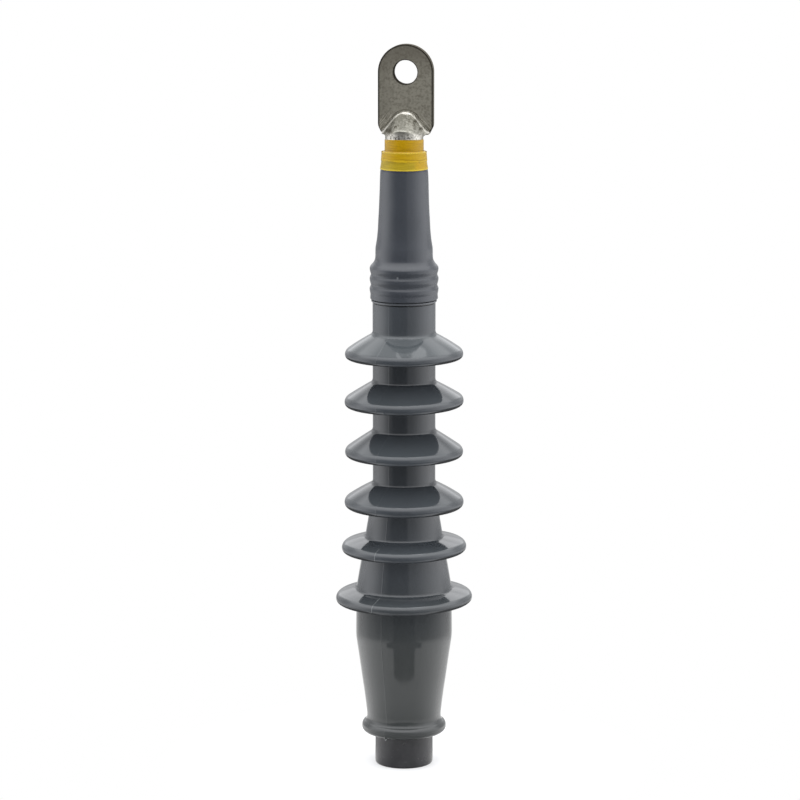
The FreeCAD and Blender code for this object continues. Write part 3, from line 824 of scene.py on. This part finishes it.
def ramp_lip(side, y, z):
    """How far the ramp's edge is raised to a lip, or sunk to a groove outside it, on the palm's front."""
    inside = bell_depth(side, z)
    near = np.clip((y + 2.0) / 6.0, 0, 1) * np.clip((14.0 - y) / 3.0, 0, 1)
    near = near * np.clip((22.6 - side) / 1.2, 0, 1) * np.clip((z - PALM_FOOT - 0.5) / 2.0, 0, 1)
    return near * (0.36 * bump(inside - 0.9, 0.85) - 0.4 * bump(inside + 0.65, 0.5))


def lug_distance(x, y, z):
    """About how far a spot lies outside the lug."""
    side = np.abs(x)
    shank = joined(lug_barrel(x, y, z), lug_wings(side, y, z), 1.2)
    roof = -bell_depth(side, z - BELL_LEAN * (y - PALM_FRONT)) / 1.13
    slab = np.abs(y - PALM_MIDDLE) - (PALM_BACK - PALM_FRONT) / 2
    palm = shared(shared(palm_rim(side, z), PALM_FOOT - z, 0.8), slab, 0.7)
    return joined(shared(shank, roof, 0.9), palm, 0.35) - ramp_lip(side, y, z)


def skin_spots(start, way, far=64.0, steps=128):
    """Where rays leave the lug: marched outwards in steps, then closed in on by halving."""
    inner = np.zeros(start.shape[:-1])
    outer = np.full(start.shape[:-1], far)
    found = np.zeros(start.shape[:-1], bool)
    for reach in np.linspace(0, far, steps)[1:]:
        spot = start + way * reach
        out = (lug_distance(*np.moveaxis(spot, -1, 0)) > 0) & ~found
        outer[out] = reach
        found |= out
        inner[~found] = reach
    for _ in range(16):
        middle = (inner + outer) / 2
        out = lug_distance(*np.moveaxis(start + way * middle[..., None], -1, 0)) > 0
        outer = np.where(out, middle, outer)
        inner = np.where(out, inner, middle)
    return start + way * inner[..., None]


def lug_heights():
    """Heights of the lug's sections: close where the ramp is, and closing in on the tip."""
    turns = np.radians(np.concatenate([np.linspace(0, 80, 26), np.linspace(82, 89.4, 10)]))
    return np.concatenate([
        np.linspace(489.0, 500.8, 6), np.linspace(501.2, 520.8, 6), np.linspace(521.2, 529.8, 4),
        np.linspace(530.2, 549.8, 6), np.linspace(550.2, 573.5, 8),
        np.arange(574.0, 579.6, 0.4), np.arange(579.8, 604.0, 0.3), np.linspace(604.4, 633.5, 22),
        PALM_TURN + (PALM_HALF - 0.02) * np.sin(turns),
    ])


def terminal_lug():
    """Horizontal sections stacked up: straight rays to the front and back, fans of rays round both sides."""
    heights = lug_heights()
    half = np.sqrt(np.maximum(PALM_HALF**2 - np.maximum(heights - PALM_TURN, 0.0) ** 2, 0.0))
    reach = np.clip(11.0 + (heights - 577.0) * 1.6, 11.0, 22.5)
    reach = np.maximum(np.minimum(reach, half - 2.5), 0.002)
    across = np.linspace(-1, 1, 150)
    fan = np.radians(np.concatenate([np.linspace(-90, -20, 22), np.linspace(-10, 80, 12)]))
    start = np.concatenate([across, np.ones(len(fan)), across[::-2], -np.ones(len(fan))])
    rows, columns = len(heights), len(start)
    origin = np.zeros((rows, columns, 3))
    origin[..., 0] = reach[:, None] * start
    origin[..., 1] = PALM_MIDDLE
    origin[..., 2] = heights[:, None]
    way = np.zeros((rows, columns, 3))
    way[..., 0] = np.concatenate([0 * across, np.cos(fan), 0 * across[::-2], -np.cos(fan[::-1])])
    way[..., 1] = np.concatenate([0 * across - 1, np.sin(fan), 0 * across[::-2] + 1, np.sin(fan[::-1])])
    spots = skin_spots(origin, way)
    here = np.arange(rows * columns).reshape(rows, columns)
    ahead = np.roll(here, -1, axis=1)
    faces = np.stack([here[:-1], ahead[:-1], ahead[1:], here[1:]], axis=-1).reshape(-1, 4).tolist()
    faces += [here[0].tolist(), here[-1].tolist()]
    stock = solid("terminal lug", spots.reshape(-1, 3) * MM, faces)
    bore = [(0.0, 487.0), (14.9, 487.0), (12.4, 490.0), (12.4, 571.0), (0.0, 578.4)]
    return cut(stock, turned("barrel bore", bore, 96), bolt_hole())


def bolt_hole():
    """The drill for the palm's hole, wider at both faces to break the hole's edges."""
    edge = HOLE + 0.4
    outline = [(0.0, -20.0), (edge, -20.0), (edge, -4.6), (HOLE, -4.2)]
    outline += [(radius, -level) for radius, level in outline[::-1]]
    drill = turned("bolt hole", outline, 128)
    place = Vector((0, PALM_MIDDLE, HOLE_HEIGHT)) * MM
    drill.transform(Matrix.Translation(place) @ Matrix.Rotation(math.radians(90), 4, "X"))
    return drill


def cut(mesh, *tools):
    """The mesh with each tool's shape taken away from it."""
    stock = placed("stock", mesh)
    cutters = [placed(tool.name, tool) for tool in tools]
    for tool, cutter in zip(tools, cutters):
        knife = stock.modifiers.new(tool.name, "BOOLEAN")
        knife.operation = "DIFFERENCE"
        knife.solver = "EXACT"
        knife.object = cutter
    done = baked(stock, mesh.name)
    for used in (stock, *cutters):
        bpy.data.objects.remove(used)
    return done


def baked(made, name):
    """A plain mesh of an object with its modifiers worked in."""
    shown = made.evaluated_get(bpy.context.evaluated_depsgraph_get())
    mesh = bpy.data.meshes.new_from_object(shown)
    mesh.name = name
    return mesh


# Wound tape

# The inputs of a winding and what they start as, in turns, radians and metres
WINDING_INPUTS = {
    "Turns": 1.3, "Start": 0.0, "Lower edge": 0.551, "Tilt": 0.0, "Width": 0.015, "Wall": 0.0002,
    "Radius": 0.0203, "Taper": 0.0, "Flare": 0.0, "Flare height": 0.007, "Lip": 0.0, "Lip height": 0.002,
    "Wander": 0.0003, "Crease": 0.0001,
}


def winding_tree():
    """Tape wound on a core: a sheet rolled up turn on turn, with wandering edges and small creases."""
    tree = bpy.data.node_groups.new("tape winding", "GeometryNodeTree")
    sides = tree.interface
    sides.new_socket("Geometry", in_out="OUTPUT", socket_type="NodeSocketGeometry")
    for name, start in WINDING_INPUTS.items():
        sides.new_socket(name, in_out="INPUT", socket_type="NodeSocketFloat").default_value = start
    sides.new_socket("Seed", in_out="INPUT", socket_type="NodeSocketInt").default_value = 1
    sides.new_socket("Material", in_out="INPUT", socket_type="NodeSocketMaterial")
    graph = Graph(tree)
    given = graph.node("NodeGroupInput").outputs
    take = {name: Value(graph, given[name]) for name in WINDING_INPUTS}
    sheet = graph.node("GeometryNodeMeshGrid", {"Vertices X": 420, "Vertices Y": 34})
    flat = graph.node("ShaderNodeSeparateXYZ", {0: graph.node("GeometryNodeInputPosition")})
    along = Value(graph, flat.outputs[0]) + 0.5
    across = Value(graph, flat.outputs[1]) + 0.5
    angle = along * take["Turns"] * (2 * math.pi) + take["Start"]
    seed = Value(graph, given["Seed"]) * 7.31

    def wander(size, level, strength, shift):
        """Smooth noise round the turns, between minus and plus its strength."""
        place = graph.vector(angle.cosine() * size + shift, angle.sine() * size, level + seed)
        noise = graph.value("ShaderNodeTexNoise", {"Vector": place, "Scale": 1.0, "Detail": 2.0})
        return (noise - 0.5) * 2.0 * strength

    turn = along * take["Turns"]
    edge = wander(2.2, turn * 2.0 + across * 1.3, take["Wander"] * 2.0, 0.0)
    towards = (angle - CAMERA_SIDE).cosine()
    height = take["Lower edge"] + take["Tilt"] * towards + across * take["Width"] + edge
    low = ((take["Flare height"] - across * take["Width"]) / take["Flare height"]).most(0.0)
    high = ((take["Lip height"] - (1.0 - across) * take["Width"]) / take["Lip height"]).most(0.0)
    crease = wander(3.0, turn * 3.0 + across * 9.0, take["Crease"], 5.0)
    flare = take["Flare"] * low * low + take["Lip"] * high * high
    radius = take["Radius"] + take["Taper"] * across + flare + take["Wall"] * 1.1 * turn + crease
    spot = graph.vector(angle.cosine() * radius, angle.sine() * radius, height)
    rolled = graph.node("GeometryNodeSetPosition", {"Geometry": sheet, "Position": spot})
    normal = graph.node("GeometryNodeInputNormal")
    thick = graph.node("ShaderNodeVectorMath", {0: normal, "Scale": take["Wall"]}, operation="SCALE")
    front = graph.node("GeometryNodeExtrudeMesh", {"Mesh": rolled, "Offset": thick, "Individual": False})
    back = graph.node("GeometryNodeFlipFaces", {"Mesh": rolled})
    both = graph.node("GeometryNodeJoinGeometry")
    for part in (front, back):
        graph.join(both.inputs[0], part)
    closed = graph.node("GeometryNodeMergeByDistance", {"Geometry": both, "Distance": 1e-6})
    whole = graph.node("GeometryNodeRealizeInstances", {"Geometry": closed})
    clad = graph.node("GeometryNodeSetMaterial", {"Geometry": whole, "Material": given["Material"]})
    graph.node("NodeGroupOutput", {0: clad})
    return tree


def wound(tree, name, finish, seed, **sizes):
    """One winding, baked to a plain mesh. Sizes are in millimetres, Turns in turns and Start in degrees."""
    host = placed(name, bpy.data.meshes.new(name))
    nodes = host.modifiers.new(name, "NODES")
    nodes.node_group = tree
    sockets = {item.name: item.identifier for item in tree.interface.items_tree if item.in_out == "INPUT"}
    for key, size in sizes.items():
        key = key.replace("_", " ")
        scale = {"Turns": 1.0, "Start": math.pi / 180}.get(key, MM)
        nodes[sockets[key]] = float(size) * scale
    nodes[sockets["Seed"]] = seed
    nodes[sockets["Material"]] = finish
    mesh = baked(host, name)
    bpy.data.objects.remove(host)
    return mesh


def merged(name, *meshes):
    """Several meshes as one."""
    work = bmesh.new()
    for mesh in meshes:
        work.from_mesh(mesh)
    whole = bpy.data.meshes.new(name)
    work.to_mesh(whole)
    work.free()
    return whole


def lug_tape(tree, finish):
    """The tape round the lug's barrel, wound a little askew."""
    return wound(tree, "lug band", finish, 3, Turns=2.2, Start=60, Lower_edge=LUG_TAPE_FOOT, Width=10.8,
                 Wall=0.16, Radius=BARREL + 0.05, Taper=-0.02, Tilt=1.3, Wander=0.12, Crease=0.05)


def sleeve_tape(tree, finish):
    """The tape round the sleeve's upper end: a broad band, a narrower one over it, and a lip over the end."""
    lower = wound(tree, "lower band", finish, 5, Turns=1.6, Start=100, Lower_edge=SLEEVE_TAPE_FOOT,
                  Width=14.6, Wall=0.16, Radius=21.15, Taper=-2.1, Flare=0.1, Flare_height=5, Wander=0.12,
                  Crease=0.05)
    upper = wound(tree, "upper band", finish, 9, Turns=1.3, Start=80, Lower_edge=557.8, Width=8.0,
                  Wall=0.13, Radius=20.55, Taper=-0.75, Tilt=0.1, Lip=0.5, Lip_height=1.8,
                  Wander=0.3, Crease=0.06)
    lip = wound(tree, "lip band", finish, 12, Turns=1.1, Start=40, Lower_edge=564.9, Width=1.8,
                Wall=0.13, Radius=19.62, Taper=-1.85, Tilt=0.4, Wander=0.06, Crease=0.05)
    return merged("sleeve tape", lower, upper, lip)


# The core sleeve


def core_sleeve():
    """The tube over the core, cut square below with a rounded edge."""
    outline = [(24.6, 0.0), *bent((24.8, 0.0), (26.5, 0.0), (26.5, 2.6), 8)]
    outline += [(26.5, height) for height in np.arange(4.0, 51.0, 2.0)]
    outline += [(26.4, 51.2), (24.6, 51.2)]
    waver = ripple(5, (0.06, 3, 9.0), (0.05, 5, 6.0), (0.04, 2, 14.0))

    def lumps(angle, height, radius):
        return np.where((radius > 25.5) & (height > 0.3), waver(angle, height) - 0.02, 0.0)

    return turned("core sleeve", outline, 192, lumps)


# Building

tape_skin = phase_tape()
winding = winding_tree()

piece("moulded body", termination_body(), moulded_silicone(), "body_silicone", "termination_body")
piece("upper sleeve", sealing_sleeve(), shrunk_silicone(), "sleeve_silicone", "sealing_sleeve")
piece("lug", terminal_lug(), tinned_copper(), "tinned_copper", "terminal_lug")
piece("lower sleeve", core_sleeve(), shrunk_tube(), "core_sleeve", "core_sleeve")
piece("lug tape", lug_tape(winding, tape_skin), tape_skin, "phase_tape", "lug_phase_tape")
piece("sleeve tape", sleeve_tape(winding, tape_skin), tape_skin, "phase_tape", "sleeve_phase_tape")

# The inner layers keep their CAD meshes and get their finishes
inner = {
    "conductor_centre_wire": bare_copper("copper wire"),
    "conductor_screen": black_layer("conductor screen", 0.5),
    "cable_insulation": polyethylene(),
    "insulation_screen": black_layer("insulation screen", 0.55),
    "copper_tape_screen": bare_copper("copper tape"),
    "semiconductive_tape": black_layer("semiconductive tape", 0.6),
    "stress_cone": black_layer("conductive silicone", 0.45),
    "mouth_sealing_mastic": black_layer("mastic", 0.65),
}
inner["lug_filling_mastic"] = inner["mouth_sealing_mastic"]
for ring in range(1, 5):
    inner[f"conductor_wires_{ring}"] = inner["conductor_centre_wire"]
for name, finish in inner.items():
    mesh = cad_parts[name].data
    mesh.materials.clear()
    mesh.materials.append(finish)


# Studio

# The floor's radius in metres
FLOOR = 0.95


def surroundings(graph):
    """Brightness of the studio by direction: white walls at both sides, wide lamps above and behind."""
    parts = graph.node("ShaderNodeSeparateXYZ", {0: graph.node("ShaderNodeTexCoord").outputs["Generated"]})
    x, y, z = (Value(graph, socket) for socket in parts.outputs)
    right, front = facing(x, y)
    aside = abs(right)
    swing = right.angle(front) * (180 / math.pi)
    left_wall = (-swing).eased(36.0, 58.0) * 0.5 + (-swing).eased(48.0, 90.0) * 1.3
    right_wall = swing.eased(6.0, 18.0) * 0.45 + swing.eased(20.0, 88.0) * 1.4
    level = 0.2 + left_wall + right_wall - abs(swing).eased(98.0, 155.0) * 1.45
    low_lamps = z.eased(0.13, 0.24) * (0.55 + aside.eased(0.14, 0.26) * 0.25) * aside.fading(0.28, 0.44)
    high_lamps = z.eased(0.28, 0.42) * aside.fading(0.18, 0.34)
    lamps = low_lamps.most(z.eased(0.5, 0.68)).most(high_lamps)
    back = level * z.fading(-0.15, 0.1) + z.eased(-0.1, 0.1) * 0.9
    back = back + lamps * (1.2 - z.eased(0.76, 0.88) * 0.8)
    ahead = level + (2.9 - level) * z.eased(0.15, 0.85)
    tubes = 2.0 - abs(right + 0.085).eased(0.028, 0.04) - abs(right - 0.205).eased(0.09, 0.105)
    tubes = tubes * front.between((-0.42, -0.36), (0.1, 0.14)) * z.eased(0.8, 0.85)
    return ahead + (back - ahead) * abs(swing).eased(95.0, 130.0) + tubes * 1.7


def floor_sheen(paint):
    """Brightness of the floor in mirrored rays: white near by, dimmer far off and where the camera stands."""
    right, front = facing(paint.x, paint.y)
    swing = abs(right.angle(front)) * (180 / math.pi)
    far = paint.radius()
    near_by = 0.35 + far.eased(95.0, 160.0) * 0.7
    near_by = near_by + swing.eased(20.0, 100.0) * 0.85 - swing.eased(105.0, 150.0) * 0.8
    behind = swing.eased(108.0, 130.0)
    far_off = 0.2 + swing.eased(35.0, 110.0) * 0.9 - behind * 0.7 + behind * far.eased(400.0, 500.0) * 0.5
    edge = 10.0 + far.eased(176.0, 196.0) * 15.0 + far.between((258.0, 285.0), (380.0, 480.0)) * 16.0
    stand = far.eased(172.0, 192.0) * (swing - edge).fading(-2.0, 2.0)
    return (near_by + (far_off - near_by) * far.eased(330.0, 620.0)) * (1.0 - stand * 0.78)


def studio_world():
    """Plain white to the camera, and a tent of light to everything else."""
    world = bpy.data.worlds.new("studio")
    bpy.context.scene.world = world
    world.use_nodes = True
    graph = Graph(world.node_tree)
    graph.tree.nodes.clear()
    camera_ray = graph.value("ShaderNodeLightPath")
    tent = graph.node("ShaderNodeBackground", {
        "Color": (0.985, 0.993, 1.015), "Strength": surroundings(graph),
    })
    white = graph.node("ShaderNodeBackground", {"Color": (1, 1, 1), "Strength": 1.0})
    mix = graph.node("ShaderNodeMixShader", {0: camera_ray, 1: tent, 2: white})
    graph.node("ShaderNodeOutputWorld", {"Surface": mix})


def studio_floor():
    """A round floor that keeps the shadow, turns white further out, and shines in mirrored rays."""
    turns = np.radians(range(0, 360, 5))
    corners = [(FLOOR * math.cos(turn), FLOOR * math.sin(turn), 0) for turn in turns]
    mesh = bpy.data.meshes.new("floor")
    mesh.from_pydata(corners, [], [range(len(corners))])
    ground = placed("floor", mesh)
    paint = Paint("pale floor")
    mesh.materials.append(paint.finish((0.8, 0.8, 0.8), 0.7))
    camera_ray = paint.value("ShaderNodeLightPath")
    mirrored = paint.value("ShaderNodeLightPath", out=3)
    strength = camera_ray + mirrored * floor_sheen(paint)
    glow = paint.node("ShaderNodeEmission", {"Color": (1, 1, 1), "Strength": strength})
    paint.mix_in(camera_ray * (0.35 + paint.radius().eased(60.0, 230.0) * 0.65) + mirrored, glow)


def camera():
    """The camera that was fitted to the photo."""
    lens = bpy.data.cameras.new("camera")
    lens.lens = LENS
    lens.sensor_width = 36.0
    lens.clip_start = 0.05
    made = placed("camera", lens)
    turn, pitch = math.radians(CAMERA_AZIMUTH), math.radians(CAMERA_PITCH)
    back = Vector((math.sin(turn) * math.cos(pitch), -math.cos(turn) * math.cos(pitch), math.sin(pitch)))
    right = Vector((math.cos(turn), math.sin(turn), 0))
    made.location = (Vector((0, 0, AIM_HEIGHT)) + back * CAMERA_DISTANCE - right * AIM_LEFT) * MM
    made.rotation_euler = (-back).to_track_quat("-Z", "Y").to_euler()
    bpy.context.scene.camera = made


studio_world()
studio_floor()
camera()
bpy.context.scene.view_settings.view_transform = "Standard"
